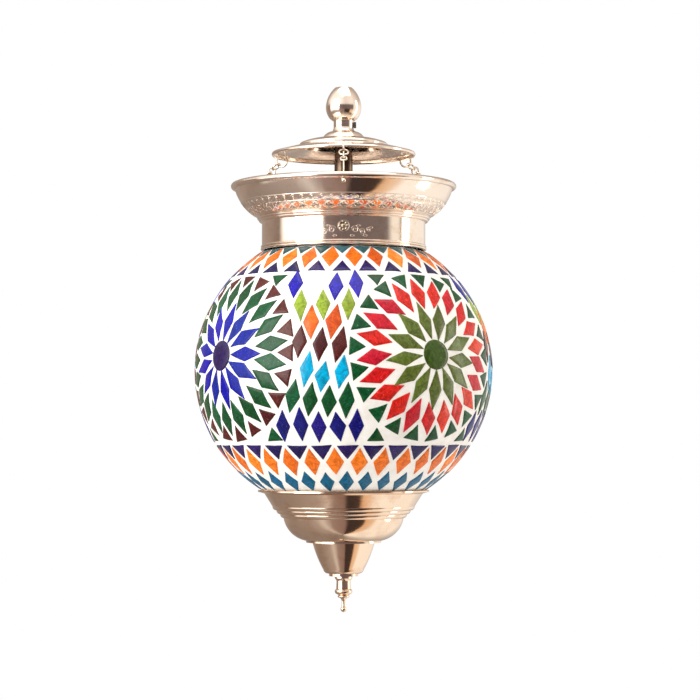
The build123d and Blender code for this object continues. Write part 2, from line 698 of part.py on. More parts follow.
HOLDER_BORE = HOLDER_RADIUS - HOLDER_WALL
INSERT_TOP = HOLDER_SEAM - 2.0
INSERT_BOTTOM = HOLDER_SEAM - 9.0
SHELL_BOTTOM = HOLDER_BOTTOM + 3.0
CONTACT_TIP = BULB_CAP_TOP + 1.0  # where the two contacts meet
save(turned_disc(HOLDER_RADIUS, HOLDER_BORE, HOLDER_SEAM, HOLDER_BOTTOM), "holder_body")
save(turned_disc(HOLDER_BORE - GAP, 2.0, INSERT_TOP, INSERT_BOTTOM), "holder_insert")
save(turned_disc(SHELL_RADIUS, SHELL_RADIUS - SHELL_WALL, INSERT_BOTTOM, SHELL_BOTTOM), "screw_shell")
save(turned_disc(3.5, 0, INSERT_BOTTOM, CONTACT_TIP + GAP), "centre_contact")
save(turned_disc(4.0, 0, CONTACT_TIP, BULB_CAP_TOP), "bulb_contact")

with BuildPart() as bulb_cap:
    # screw cap and its tapered insulated end
    with BuildSketch(Plane.XZ):
        with BuildLine():
            Polyline(
                (0, BULB_CAP_BOTTOM),
                (BULB_CAP_RADIUS, BULB_CAP_BOTTOM),
                (BULB_CAP_RADIUS, BULB_CAP_TOP - 2.6),
                (7.0, BULB_CAP_TOP),
                (0, BULB_CAP_TOP),
                close=True,
            )
        make_face()
    revolve(axis=Axis.Z)
save(bulb_cap, "bulb_cap")

with BuildPart() as bulb_glass:
    # thin pear-shaped shell of a household bulb, open where its neck meets the cap
    ball_top = 20  # degrees above the widest level where the ball meets the shoulder
    with BuildSketch(Plane.XZ):
        with BuildLine():
            ball = CenterArc((0, BULB_WIDEST), BULB_RADIUS, -90, 90 + ball_top)
            shoulder = ThreePointArc(ball @ 1, (21.9, -185.5), (13.2, -170.0))
            neck = Polyline(shoulder @ 1, (12.6, BULB_CAP_BOTTOM), (12.6 - BULB_WALL, BULB_CAP_BOTTOM))
            inner_ball = CenterArc((0, BULB_WIDEST), BULB_RADIUS - BULB_WALL, -90, 90 + ball_top)
            inner_shoulder = ThreePointArc(inner_ball @ 1, (21.2, -185.9), (13.2 - BULB_WALL, -170.2))
            Line(inner_shoulder @ 1, neck @ 1)
            Line(inner_ball @ 0, ball @ 0)
        make_face()
    revolve(axis=Axis.Z)
save(bulb_glass, "bulb_glass")

print(f"chain pivots: radius {CAP_CHAIN_RADIUS}, height {CHAIN_PIVOT_HEIGHT:.3f}")
print(f"chain length {CHAIN_LENGTH:.3f}, slope {degrees(CHAIN_SLOPE):.2f} degrees")
print(f"swing centre {SWING_CENTRE:.3f}, ratio {RIM_CENTRE_RADIUS / CHAIN_REACH:.4f}")
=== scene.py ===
"""Hanging mosaic lantern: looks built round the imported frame.

Every chip, gem and the grout between them are meshes made from the frame's own chips. The
turned and spun fittings keep their frame shapes and get metal materials; the collar also gets
its lace band, scrollwork and rosettes. Metres, +Z up, the origin at the knob's mouth.
Azimuth 0 is the front, -Y, and it grows towards +X.
"""

import json
import math

import bmesh
import bpy
import numpy as np
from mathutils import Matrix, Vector, noise
from mathutils.bvhtree import BVHTree


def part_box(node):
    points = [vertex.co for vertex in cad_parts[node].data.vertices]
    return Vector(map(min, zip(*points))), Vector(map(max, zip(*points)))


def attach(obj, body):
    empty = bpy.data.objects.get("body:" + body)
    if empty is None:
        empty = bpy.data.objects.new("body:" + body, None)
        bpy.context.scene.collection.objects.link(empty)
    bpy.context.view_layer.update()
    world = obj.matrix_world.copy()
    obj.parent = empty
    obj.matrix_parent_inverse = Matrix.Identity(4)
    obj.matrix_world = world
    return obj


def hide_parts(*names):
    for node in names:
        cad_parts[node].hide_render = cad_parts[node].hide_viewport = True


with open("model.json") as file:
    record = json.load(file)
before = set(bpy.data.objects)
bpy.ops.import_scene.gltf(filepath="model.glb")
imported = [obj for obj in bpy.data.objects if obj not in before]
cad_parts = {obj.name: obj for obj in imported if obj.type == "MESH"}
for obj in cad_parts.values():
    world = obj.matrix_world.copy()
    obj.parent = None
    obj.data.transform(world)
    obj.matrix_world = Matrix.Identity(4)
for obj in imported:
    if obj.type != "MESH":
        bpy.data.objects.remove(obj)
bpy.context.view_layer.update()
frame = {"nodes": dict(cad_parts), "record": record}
nodes = frame["nodes"]
MM = 0.001


# ---------------------------------------------------------------- shader nodes
def linear(red, green, blue):
    """Scene-linear colour of an 8-bit sRGB colour."""
    parts = [value / 255 for value in (red, green, blue)]
    return [v / 12.92 if v <= 0.04045 else ((v + 0.055) / 1.055) ** 2.4 for v in parts] + [1.0]


def shade(colour, factor):
    """Colour made darker or lighter."""
    return [min(1.0, part * factor) for part in colour[:3]] + [1.0]


class Tree:
    """A node tree, and the kinds of node that materials and the world share."""

    def __init__(self, tree):
        self.tree = tree

    def plug(self, source, socket):
        """Feeds a socket from another socket, or sets its value."""
        if isinstance(source, bpy.types.NodeSocket):
            self.tree.links.new(source, socket)
        else:
            socket.default_value = source

    def add(self, kind, links=None, **settings):
        """New node; links feed its input sockets, by name or number."""
        node = self.tree.nodes.new(kind)
        for key, value in settings.items():
            setattr(node, key, value)
        for socket, source in (links or {}).items():
            self.plug(source, node.inputs[socket])
        return node

    def calc(self, operation, first, second=0.0):
        return self.add("ShaderNodeMath", {0: first, 1: second}, operation=operation).outputs[0]

    def spread(self, value, low, high, to_low=0.0, to_high=1.0):
        """Value mapped from one range to another, and held inside it."""
        links = {"Value": value, "From Min": low, "From Max": high, "To Min": to_low, "To Max": to_high}
        return self.add("ShaderNodeMapRange", links).outputs[0]

    def mix(self, factor, first, second):
        """Blend of two colours."""
        node = self.add("ShaderNodeMix", data_type="RGBA")
        sockets = {socket.identifier: socket for socket in node.inputs}
        self.plug(factor, sockets["Factor_Float"])
        self.plug(first, sockets["A_Color"])
        self.plug(second, sockets["B_Color"])
        return next(socket for socket in node.outputs if socket.identifier == "Result_Color")


class Surface(Tree):
    """A material under construction: its node tree, its shader and the object's coordinates."""

    def __init__(self, name, **values):
        self.material = bpy.data.materials.new(name)
        self.material.use_nodes = True
        super().__init__(self.material.node_tree)
        self.shader = self.tree.nodes["Principled BSDF"]
        for socket, value in values.items():
            self.shader.inputs[socket.replace("_", " ")].default_value = value
        self.place = self.add("ShaderNodeTexCoord").outputs["Object"]

    def turned(self):
        """Coordinates (radius, 0, height) in which a lathe's marks are level lines."""
        parts = self.add("ShaderNodeSeparateXYZ", {0: self.place}).outputs
        square = self.calc("ADD", self.calc("POWER", parts[0], 2.0), self.calc("POWER", parts[1], 2.0))
        radius = self.calc("SQRT", square)
        return self.add("ShaderNodeCombineXYZ", {0: radius, 2: parts[2]}).outputs[0]

    def noise(self, scale, detail=3.0, rough=0.5, distortion=0.0, vector=None):
        links = {"Vector": vector or self.place, "Scale": scale, "Detail": detail}
        links.update({"Roughness": rough, "Distortion": distortion})
        return self.add("ShaderNodeTexNoise", links).outputs["Fac"]

    def bump(self, height, distance, strength=1.0, before=None):
        links = {"Height": height, "Distance": distance, "Strength": strength}
        if before:
            links["Normal"] = before
        return self.add("ShaderNodeBump", links).outputs[0]

    def feed(self, **sources):
        """Links sources to the shader's sockets."""
        for socket, source in sources.items():
            self.tree.links.new(source, self.shader.inputs[socket.replace("_", " ")])
        return self.material


# ---------------------------------------------------------------- materials
def spun_metal(name, colour, tarnish, rough=0.11, marks=0.4):
    """Polished metal spun on a lathe: fine level marks, slow waves and a little tarnish."""
    metal = Surface(name, Metallic=1.0)
    turned = metal.turned()
    streaks = metal.noise(900.0, 4.0, 0.7, vector=turned)
    patches = metal.spread(metal.noise(55.0, 5.0, 0.6, 0.8), 0.5, 0.9)
    stain = metal.calc("MULTIPLY", patches, metal.spread(streaks, 0.35, 0.65, 0.4, 1.0))
    body = metal.mix(stain, colour, tarnish)
    handled = metal.spread(metal.noise(120.0, 6.0, 0.65), 0.35, 0.7, rough * 0.8, rough * 1.3)
    slow = metal.bump(metal.noise(26.0, 1.0), 1.4 * MM, 0.10)
    fine = metal.bump(streaks, 0.05 * MM, marks, slow)
    return metal.feed(Base_Color=body, Roughness=handled, Normal=fine)


def wire_metal(name, colour, tarnish, rough):
    """Drawn wire: bright, with dull patches and small nicks."""
    metal = Surface(name, Metallic=1.0)
    patches = metal.spread(metal.noise(400.0, 4.0, 0.6), 0.4, 0.7)
    nicks = metal.noise(1500.0, 2.0)
    body = metal.mix(patches, colour, tarnish)
    dull = metal.spread(patches, 0.0, 1.0, rough, rough * 2.0)
    return metal.feed(Base_Color=body, Roughness=dull, Normal=metal.bump(nicks, 0.08 * MM, 0.4))


def chip_glass(name, colour, cloud=1.0):
    """Hand-cut coloured glass: streaky colour, seeds, an uneven glossy face, a tone for each chip."""
    glass = Surface(name, Coat_Weight=0.12, Coat_Roughness=0.05, IOR=1.3)
    tone = glass.add("ShaderNodeAttribute", attribute_name="tone").outputs["Fac"]
    streaks = glass.noise(170.0, 5.0, 0.6, 2.2)
    body = glass.mix(glass.spread(streaks, 0.36, 0.66), shade(colour, 0.62), shade(colour, 1.35))
    seeds = glass.spread(glass.noise(1300.0, 2.0, 0.5), 0.70, 0.78)
    body = glass.mix(glass.calc("MULTIPLY", seeds, 0.35 * cloud), body, linear(235, 235, 225))
    value = glass.spread(tone, 0.0, 1.0, 0.72, 1.34)
    warmth = glass.spread(tone, 0.0, 1.0, 0.488, 0.512)
    body = glass.add("ShaderNodeHueSaturation", {"Hue": warmth, "Value": value, "Color": body}).outputs[0]
    rough = glass.spread(glass.noise(260.0, 3.0), 0.35, 0.7, 0.12, 0.34)
    swell = glass.bump(glass.noise(150.0, 2.0), 0.5 * MM, 0.35)
    return glass.feed(Base_Color=body, Roughness=rough, Normal=glass.bump(streaks, 0.10 * MM, 0.3, swell))


def grout_paste():
    """White cement grout: chalky, slightly gritty, greyer in its hollows."""
    grout = Surface("grout", IOR=1.45)
    clouds = grout.noise(90.0, 5.0, 0.6)
    grit = grout.noise(2600.0, 3.0, 0.6)
    body = grout.mix(grout.spread(clouds, 0.35, 0.7), linear(254, 254, 251), linear(240, 237, 231))
    body = grout.mix(grout.spread(grit, 0.60, 0.75, 0.0, 0.35), body, linear(205, 200, 190))
    rough = grout.spread(clouds, 0.3, 0.7, 0.62, 0.85)
    lumps = grout.bump(grout.noise(500.0, 4.0), 0.35 * MM, 0.45)
    return grout.feed(Base_Color=body, Roughness=rough, Normal=grout.bump(grit, 0.06 * MM, 0.5, lumps))


def plain_glass(name, colour, rough, clearness=1.0):
    """Clear or frosted blown glass, with faint thickness waves."""
    glass = Surface(name, Transmission_Weight=clearness, IOR=1.5)
    haze = glass.spread(glass.noise(60.0, 3.0), 0.3, 0.7, rough, rough * 1.6 + 0.01)
    body = glass.mix(glass.noise(40.0), colour, shade(colour, 0.94))
    return glass.feed(Base_Color=body, Roughness=haze, Normal=glass.bump(glass.noise(35.0), 1.0 * MM, 0.1))


def moulded(name, colour, rough, grain):
    """Moulded plastic, fired porcelain or rubber: an even colour, faint mottling and a fine grain."""
    mass = Surface(name, IOR=1.5)
    clouds = mass.noise(150.0, 4.0)
    body = mass.mix(clouds, shade(colour, 0.9), shade(colour, 1.12))
    skin = mass.spread(clouds, 0.3, 0.7, rough * 0.85, rough * 1.2)
    return mass.feed(Base_Color=body, Roughness=skin, Normal=mass.bump(mass.noise(1800.0), grain * MM, 0.4))


def floor_paint():
    """Pale matt floor."""
    paint = Surface("floor_paint", Roughness=0.9)
    return paint.feed(Base_Color=paint.mix(paint.noise(3.0), linear(240, 239, 237), linear(246, 245, 243)))


CHIP_COLOURS = {
    "teal": (44, 90, 96),
    "orange": (246, 112, 26),
    "indigo": (34, 24, 84),
    "petrol": (10, 94, 130),
    "blue": (10, 16, 150),
    "lime": (140, 166, 48),
    "maroon": (80, 26, 24),
    "cyan": (0, 160, 206),
    "green": (12, 74, 38),
    "navy": (18, 18, 112),
    "olive": (90, 106, 42),
    "red": (206, 34, 28),
}
CHAMPAGNE = [0.90, 0.77, 0.66, 1.0]  # scene-linear, as is ROSE_BRASS
ROSE_BRASS = [0.89, 0.70, 0.54, 1.0]
COPPER = linear(196, 138, 104)

materials = {
    "cap_brass": spun_metal("cap_brass", CHAMPAGNE, linear(214, 178, 146)),
    "base_brass": spun_metal("base_brass", ROSE_BRASS, COPPER),
    "antique_brass": spun_metal("antique_brass", linear(108, 88, 74), linear(62, 48, 40), 0.2),
    "tube_steel": spun_metal("tube_steel", linear(190, 190, 188), linear(120, 116, 110), 0.32, 0.6),
    "chain_brass": wire_metal("chain_brass", linear(244, 234, 220), linear(178, 154, 130), 0.14),
    "contact_brass": wire_metal("contact_brass", linear(222, 186, 110), linear(150, 108, 60), 0.3),
    "screw_brass": wire_metal("screw_brass", linear(216, 198, 178), linear(84, 66, 54), 0.2),
    "screw_steel": wire_metal("screw_steel", linear(110, 106, 102), linear(52, 48, 46), 0.3),
    "cap_steel": spun_metal("cap_steel", linear(205, 205, 206), linear(150, 148, 146), 0.3, 0.8),
    "solder": wire_metal("solder", linear(170, 170, 174), linear(110, 110, 112), 0.4),
    "holder_plastic": moulded("holder_plastic", linear(34, 33, 34), 0.32, 0.03),
    "porcelain": moulded("porcelain", linear(228, 226, 218), 0.18, 0.02),
    "packing": moulded("packing", linear(40, 39, 38), 0.75, 0.05),
    "bulb_glass": plain_glass("bulb_glass", linear(250, 248, 240), 0.35, 0.6),
    "clear_glass": plain_glass("clear_glass", linear(236, 244, 240), 0.02),
    "grout": grout_paste(),
}
for colour, values in CHIP_COLOURS.items():
    materials[f"chip_{colour}"] = chip_glass(f"chip_{colour}", linear(*values))
# painted glare: a near-white chip colour standing in for a window's reflection on one front chip
PAINTED_GLARE_CHIP = chip_glass("chip_painted_glare", linear(244, 246, 246), 0.3)
GEM_GREEN = chip_glass("gem_green", linear(58, 82, 24), 0.5)
GEM_INDIGO = chip_glass("gem_indigo", linear(42, 28, 78), 0.5)


# ---------------------------------------------------------------- mesh helpers
def add_piece(name, points, faces, made_of, body, tones=None):
    """Smooth mesh piece in the row frame, riding on a body."""
    mesh = bpy.data.meshes.new(name)
    mesh.from_pydata([tuple(point) for point in points], [], faces)
    shape = bmesh.new()
    shape.from_mesh(mesh)
    bmesh.ops.recalc_face_normals(shape, faces=shape.faces)
    shape.to_mesh(mesh)
    shape.free()
    mesh.shade_smooth()
    if tones is not None:
        mesh.attributes.new("tone", "FLOAT", "POINT").data.foreach_set("value", tones)
    for material in made_of:
        mesh.materials.append(material)
    piece = bpy.data.objects.new(name, mesh)
    bpy.context.scene.collection.objects.link(piece)
    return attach(piece, body)


def ring_faces(rows, columns, start=0):
    """Quads between rows of points, each row a closed ring."""
    faces = []
    for row in range(rows - 1):
        low = start + row * columns
        for column in range(columns):
            after = (column + 1) % columns
            faces.append((low + column, low + after, low + columns + after, low + columns + column))
    return faces


def fan_faces(first, columns, tip):
    """Triangles from a closed ring of points to its tip."""
    return [(first + column, first + (column + 1) % columns, tip) for column in range(columns)]


def paint_faces(piece, faces):
    """Gives some faces the piece's second material."""
    for index in faces:
        piece.data.polygons[index].material_index = 1


def azimuth(degrees):
    """Horizontal unit vector at an azimuth."""
    turn = math.radians(degrees)
    return Vector((math.sin(turn), -math.cos(turn), 0))


def azimuth_of(point):
    return math.degrees(math.atan2(point.x, -point.y))


# ---------------------------------------------------------------- mosaic
GLOBE_CENTRE = Vector((0, 0, -191 * MM))
GLOBE_RADIUS = 97 * MM  # of the glass, to the sides
GLOBE_HALF_HEIGHT = 93 * MM
CUT_WIDER = 0.4 * MM  # how far a chip's edge stands outside its frame outline
CORNER_ROUND = 0.7 * MM
CHIP_DEPTH = 2.0 * MM
GROUT_LEVEL = 2.25 * MM  # outside the glass
GROUT_INSIDE = 0.1 * MM
GROUT_TOP = 57.4  # parametric latitude, in degrees
GROUT_FOOT = -59.2
GROUT_THIN_FROM = 55.5
# where the painted glare goes: the front panel's top-row chip at this azimuth, above this height
PAINTED_GLARE_TURN = -12.8
PAINTED_GLARE_ABOVE = -150 * MM
GEM_PROFILE = (  # share of the radius, and height in mm over the gem's face
    (1.0, -2.2),
    (1.0, -0.9),
    (0.985, -0.5),
    (0.94, -0.15),
    (0.84, 0.12),
    (0.66, 0.38),
    (0.42, 0.55),
    (0.2, 0.62),
)
GEM_TIP = 0.65 * MM


def separate_solids(node):
    """Corner points of each separate solid of a node."""
    shape = bmesh.new()
    shape.from_mesh(nodes[node].data)
    bmesh.ops.remove_doubles(shape, verts=shape.verts, dist=1e-6)
    shape.verts.ensure_lookup_table()
    seen = set()
    solids = []
    for vert in shape.verts:
        if vert.index in seen:
            continue
        seen.add(vert.index)
        open_ends = [vert]
        solid = []
        while open_ends:
            here = open_ends.pop()
            solid.append(here.co.copy())
            for edge in here.link_edges:
                other = edge.other_vert(here)
                if other.index not in seen:
                    seen.add(other.index)
                    open_ends.append(other)
        solids.append(solid)
    shape.free()
    return solids


def outer_face(solid):
    """A prism's outer corners in order, their middle, and the outward direction."""
    by_distance = sorted(solid, key=lambda point: (point - GLOBE_CENTRE).length)
    half = len(solid) // 2
    inner = sum(by_distance[:half], Vector()) / half
    outer = sum(by_distance[half:], Vector()) / half
    outward = (outer - inner).normalized()
    across = (by_distance[-1] - outer).normalized()
    along = outward.cross(across)

    def bearing(point):
        arm = point - outer
        return math.atan2(arm.dot(along), arm.dot(across))

    return sorted(by_distance[half:], key=bearing), outer, outward


def cut_outline(corners, draw):
    """Outline of a hand-cut chip: nudged corners, slightly bowed sides, blunt tips."""
    count = len(corners)
    nudged = [corner * draw.uniform(0.95, 1.06) + draw.normal(0, 0.16 * MM, 2) for corner in corners]
    area = 0.5 * sum(np.cross(nudged[i], nudged[(i + 1) % count]) for i in range(count))
    rim = sum(np.linalg.norm(nudged[(i + 1) % count] - nudged[i]) for i in range(count))
    inradius = 2 * area / rim
    grown = [corner * (1 + CUT_WIDER / inradius) for corner in nudged]
    outline = []
    for index, corner in enumerate(grown):
        before = grown[index - 1] - corner
        after = grown[(index + 1) % count] - corner
        length = np.linalg.norm(after)
        before = before / np.linalg.norm(before)
        after = after / length
        blunt = CORNER_ROUND * draw.uniform(0.6, 1.2)
        outline.append(corner + before * blunt)
        outline.append(corner + (before + after) * blunt * 0.22)
        outline.append(corner + after * blunt)
        bow = np.array((after[1], -after[0])) * draw.normal(0, 0.10 * MM)
        for share in (0.33, 0.67):
            outline.append(corner + after * length * share + bow)
    return np.array(outline), inradius


def chip_mesh(corners, middle, outward, draw):
    """Points and faces of one pillowed chip that bends a little with the globe."""
    across = (corners[0] - middle).normalized()
    along = outward.cross(across)
    flat = [np.array(((c - middle).dot(across), (c - middle).dot(along))) for c in corners]
    outline, inradius = cut_outline(flat, draw)
    tilt = draw.normal(0, 0.008, 2)
    lift = draw.normal(0, 0.05 * MM)
    rings = (
        (1.0, -CHIP_DEPTH),
        (1.0, -0.60 * MM),
        (1 - 0.08 * MM / inradius, -0.34 * MM),
        (1 - 0.28 * MM / inradius, -0.13 * MM),
        (1 - 0.65 * MM / inradius, -0.02 * MM),
        (0.5, 0.06 * MM),
        (0.0, 0.09 * MM),
    )
    points = []
    for share, height in rings:
        for spot in outline * share if share else [np.zeros(2)]:
            sag = 0.75 * spot.dot(spot) / (2 * GLOBE_RADIUS)
            rise = height - sag + lift + tilt.dot(spot)
            points.append(middle + across * spot[0] + along * spot[1] + outward * rise)
    count = len(outline)
    faces = ring_faces(len(rings) - 1, count)
    last = (len(rings) - 2) * count
    faces += fan_faces(last, count, last + count)
    faces.append(tuple(reversed(range(count))))
    return points, faces


def chip_draw(middle):
    """Random numbers of one chip, the same for the same place."""
    return np.random.default_rng([int(round(part / MM * 10)) + 5000 for part in middle])


def lay_mosaic(colour):
    """All chips of one colour as one piece."""
    points = []
    faces = []
    tones = []
    painted_glare_faces = []
    for solid in separate_solids(f"chips_{colour}"):
        corners, middle, outward = outer_face(solid)
        draw = chip_draw(middle)
        chip_points, chip_faces = chip_mesh(corners, middle, outward, draw)
        start = len(points)
        # the chip under the painted glare gets the near-white second material
        if colour == "blue" and under_painted_glare(middle):
            painted_glare_faces += range(len(faces), len(faces) + len(chip_faces))
        points += chip_points
        faces += [tuple(start + index for index in face) for face in chip_faces]
        tones += [float(np.clip(draw.normal(0.5, 0.2), 0, 1))] * len(chip_points)
    made_of = [materials[f"chip_{colour}"]]
    if painted_glare_faces:
        made_of.append(PAINTED_GLARE_CHIP)
    piece = add_piece(f"mosaic_{colour}", points, faces, made_of, "bowl", tones)
    paint_faces(piece, painted_glare_faces)
    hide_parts(f"chips_{colour}")


def under_painted_glare(middle):
    """One chip of the front panel's top row gets a painted glare: a near-white colour in place of the
    window's reflection on it.
    """
    return abs(azimuth_of(middle) - PAINTED_GLARE_TURN) < 2 and middle.z > PAINTED_GLARE_ABOVE


def set_gems():
    """Domed cast gem in the middle of each medallion."""
    points = []
    faces = []
    green_faces = []
    segments = 56
    for solid in separate_solids("medallion_gems"):
        middle = sum(solid, Vector()) / len(solid)
        arm = middle - GLOBE_CENTRE
        outward = Vector((arm.x, arm.y, arm.z * (GLOBE_RADIUS / GLOBE_HALF_HEIGHT) ** 2)).normalized()
        reach = max((point - middle).dot(outward) for point in solid)
        face = middle + outward * (reach - 0.7 * MM)
        radius = max(((point - middle) - outward * (point - middle).dot(outward)).length for point in solid)
        across = outward.cross(Vector((0, 0, 1))).normalized()
        along = outward.cross(across)
        draw = chip_draw(middle)
        wobble = draw.uniform(0, math.tau, 2)
        start = len(points)
        for share, height in GEM_PROFILE:
            for step in range(segments):
                turn = math.tau * step / segments
                uneven = 1 + 0.018 * math.sin(2 * turn + wobble[0]) + 0.01 * math.sin(3 * turn + wobble[1])
                reach_here = radius * share * uneven
                spot = across * math.cos(turn) * reach_here + along * math.sin(turn) * reach_here
                points.append(face + spot + outward * height * MM)
        points.append(face + outward * GEM_TIP)
        first_face = len(faces)
        faces += ring_faces(len(GEM_PROFILE), segments, start)
        last = start + (len(GEM_PROFILE) - 1) * segments
        faces += fan_faces(last, segments, last + segments)
        faces.append(tuple(start + i for i in reversed(range(segments))))
        if middle.x * middle.y < 0:
            green_faces += range(first_face, len(faces))
    piece = add_piece("gems", points, faces, [GEM_INDIGO, GEM_GREEN], "bowl", [0.5] * len(points))
    paint_faces(piece, green_faces)
    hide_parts("medallion_gems")


def globe_point(turn, latitude, level):
    """Point of the globe at an azimuth and parametric latitude, a level outside the glass."""
    flat = azimuth(turn) * (GLOBE_RADIUS + level) * math.cos(math.radians(latitude))
    height = (GLOBE_HALF_HEIGHT + level) * math.sin(math.radians(latitude))
    return GLOBE_CENTRE + flat + Vector((0, 0, height))


def fill_grout():
    """Grout as wiped by hand: an uneven skin, closed by an inner face on the glass."""
    columns = 720
    outer_rows = np.linspace(GROUT_TOP, GROUT_FOOT, 236)
    inner_rows = np.linspace(GROUT_FOOT + 0.2, GROUT_TOP - 0.2, 24)
    points = []
    for latitude in outer_rows:
        for column in range(columns):
            spot = globe_point(360 * column / columns, latitude, GROUT_LEVEL)
            swell = noise.noise(spot * 95) * 0.16 + noise.noise(spot * 420) * 0.10
            thinner = 0.27 * max(0, abs(latitude) - GROUT_THIN_FROM)
            arm = (spot - GLOBE_CENTRE).normalized()
            points.append(spot + arm * (swell - thinner) * MM)
    for latitude in inner_rows:
        for column in range(columns):
            points.append(globe_point(360 * column / columns, latitude, GROUT_INSIDE))
    rows = len(outer_rows) + len(inner_rows)
    faces = ring_faces(rows, columns)
    last = (rows - 1) * columns
    for column in range(columns):
        after = (column + 1) % columns
        faces.append((last + column, last + after, after, column))
    piece = add_piece("grout", points, faces, [materials["grout"]], "bowl")
    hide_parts("grout_bed")


# ---------------------------------------------------------------- collar ornament
RING_COUNT = 41
RING_LEVEL = -84.4 * MM
LOZENGE_COUNT = 62
LOZENGE_LEVEL = -80.3 * MM
SCROLL_LEVEL = -101.2 * MM
SCROLLS = ((7.8, 2.5, 0.6), (12.8, 2.1, -0.8), (17.0, 1.5, 0.5))  # degrees aside, size and rise in mm
LEAVES = ((10.2, 3.2), (14.8, -3.2), (5.9, -3.4), (18.8, 2.0))  # degrees aside, rise in mm
ROSETTE_TURNS = (0, 120, 240)
BESIDE_ROSETTE = 8  # degrees, where the neck has no rosette screw on it
ROSETTE_RIM = 0.8 * MM


class Skin:
    """A frame node's outer surface, found by looking at it from outside along a level line."""

    def __init__(self, node):
        shape = bmesh.new()
        shape.from_mesh(nodes[node].data)
        self.tree = BVHTree.FromBMesh(shape)
        shape.free()

    def at(self, turn, height):
        """Point and normal at an azimuth and height."""
        direction = azimuth(turn)
        start = direction * 0.2 + Vector((0, 0, height))
        point, normal, _, _ = self.tree.ray_cast(start, -direction)
        if normal.dot(direction) < 0:
            normal = -normal
        return point, normal


def raised_line(skin, path, width, height, closed):
    """Half-round line in relief along a path of (azimuth, height) on a skin."""
    spots = [skin.at(turn, level) for turn, level in path]
    count = len(spots)
    section = [(math.cos(math.radians(a)), math.sin(math.radians(a))) for a in (0, 45, 90, 135, 180)]
    points = []
    for index, (point, normal) in enumerate(spots):
        after = spots[(index + 1) % count][0] if closed or index < count - 1 else point
        before = spots[index - 1][0] if closed or index else point
        side = (after - before).cross(normal).normalized()
        for aside, up in section:
            points.append(point + side * aside * width / 2 + normal * (up * height - 0.06 * MM))
    faces = []
    size = len(section)
    for index in range(count if closed else count - 1):
        here = index * size
        there = (index + 1) % count * size
        for step in range(size - 1):
            faces.append((here + step, here + step + 1, there + step + 1, there + step))
    return points, faces


def join_lines(name, lines, slot):
    """Raised lines as one piece on the bowl."""
    points = []
    faces = []
    for line_points, line_faces in lines:
        start = len(points)
        points += line_points
        faces += [tuple(start + index for index in face) for face in line_faces]
    piece = add_piece(name, points, faces, [materials[slot]], "bowl")


def raised_loop(skin, middle, size, steps, width, height):
    """Oval in relief round a middle; azimuths in degrees, everything else in mm."""
    turn, level = middle
    across, up = size
    path = []
    for step in range(steps):
        bearing = math.tau * step / steps
        path.append((turn + across * math.cos(bearing), level + up * MM * math.sin(bearing)))
    return raised_line(skin, path, width * MM, height * MM, True)


def lace_band(skin):
    """Band on the flare: a row of rings with a pip in each, a net of lozenges above, lines between."""
    lines = []
    for index in range(RING_COUNT):
        turn = index * 360 / RING_COUNT
        lines.append(raised_loop(skin, (turn, RING_LEVEL), (2.65, 2.0), 24, 0.8, 0.28))
        lines.append(raised_loop(skin, (turn, RING_LEVEL), (0.75, 0.6), 8, 1.0, 0.3))
        between = turn + 180 / RING_COUNT
        for level in (RING_LEVEL + 1.8 * MM, RING_LEVEL - 1.8 * MM):
            lines.append(raised_loop(skin, (between, level), (0.5, 0.4), 6, 0.8, 0.25))
    for index in range(LOZENGE_COUNT):
        turn = index * 360 / LOZENGE_COUNT
        for size in ((2.7, 1.75), (1.0, 0.65)):
            lines.append(raised_loop(skin, (turn, LOZENGE_LEVEL), size, 4, 0.7, 0.25))
    for level in (LOZENGE_LEVEL + 2.2 * MM, LOZENGE_LEVEL - 2.0 * MM, RING_LEVEL - 2.7 * MM):
        ring = [(step, level) for step in range(360)]
        lines.append(raised_line(skin, ring, 0.7 * MM, 0.28 * MM, True))
    join_lines("lace_band", lines, "cap_brass")


def scroll_path(turn, level, hand, size):
    """Spiral scroll that opens towards one side."""
    path = []
    for step in range(30):
        bearing = math.radians(18 * step)
        reach = size * (0.22 + 0.78 * step / 29)
        path.append((turn + hand * reach * math.cos(bearing) * 1.05, level + reach * math.sin(bearing) * MM))
    return path


def scrollwork(skin):
    """Scrolls and leaves chased on the neck, either side of each rosette."""
    lines = []
    for turn in ROSETTE_TURNS:
        for hand in (-1, 1):
            for aside, size, rise in SCROLLS:
                path = scroll_path(turn + hand * aside, SCROLL_LEVEL + rise * MM, hand, size)
                lines.append(raised_line(skin, path, 0.55 * MM, 0.24 * MM, False))
            for aside, rise in LEAVES:
                middle = (turn + hand * aside, SCROLL_LEVEL + rise * MM)
                lines.append(raised_loop(skin, middle, (1.3, 0.55), 12, 0.45, 0.22))
    join_lines("scrollwork", lines, "cap_brass")


def rosette_height(share, turn):
    """Relief of a rosette, in mm: eight petals round a slotted boss, with a beaded edge."""
    if share < 0.42:
        slot = min(abs(math.sin(turn)), abs(math.cos(turn))) * share
        boss = 0.95 * math.sqrt(max(0, 1 - (share / 0.44) ** 2)) + 0.25
        return boss - (0.55 if slot < 0.06 and share < 0.34 else 0)
    if share < 0.86:
        petal = math.sqrt(max(0, math.sin(math.pi * (share - 0.42) / 0.44)))
        return 0.18 + 0.42 * petal * (0.35 + 0.65 * abs(math.cos(4 * turn)))
    bead = math.sqrt(max(0, math.sin(math.pi * (share - 0.86) / 0.14)))
    return 0.1 + 0.3 * bead * (0.5 + 0.5 * abs(math.sin(14 * turn)))


